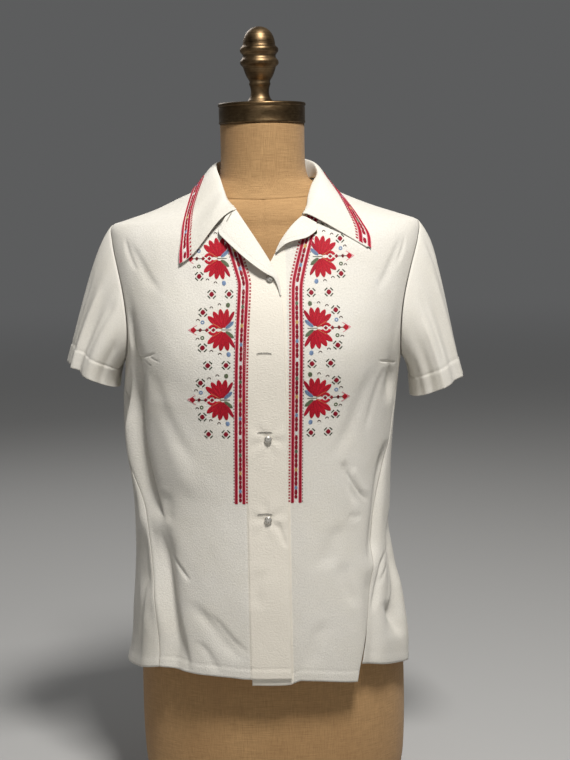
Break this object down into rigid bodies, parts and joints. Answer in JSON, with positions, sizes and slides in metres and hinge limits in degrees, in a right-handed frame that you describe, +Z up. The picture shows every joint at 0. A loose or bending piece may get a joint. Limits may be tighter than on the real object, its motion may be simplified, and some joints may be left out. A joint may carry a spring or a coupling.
{
  "type": "embroidered blouse on a dress form",
  "caption": "Short-sleeved blouse with a notched collar and cross-stitch bands, buttoned on a limbless linen dress form with a brass cap.",
  "frame": {"origin": "middle of the flat bottom of the foot board", "axes": "+Z up along the form, -Y the side the blouse buttons on, +X the wearer's left"},
  "size_m": [0.5331, 0.2855, 1.0368],
  "materials": {
    "cloth": "ivory crepe",
    "linen": "tan linen over a stiff shell",
    "board": "stained",
    "brass": "aged",
    "pearl": "pearl"
  },
  "bodies": {
    "root": {"form_body": "linen", "foot_board": "board", "neck_cap": "brass", "finial": "brass", "front_right": "cloth", "front_left": "cloth", "back": "cloth", "sleeve_right": "cloth", "sleeve_left": "cloth", "lapel_right": "cloth", "lapel_left": "cloth", "collar": "cloth", "button_top": "pearl", "button_middle": "pearl", "button_low": "pearl"}
  },
  "joints": []
}
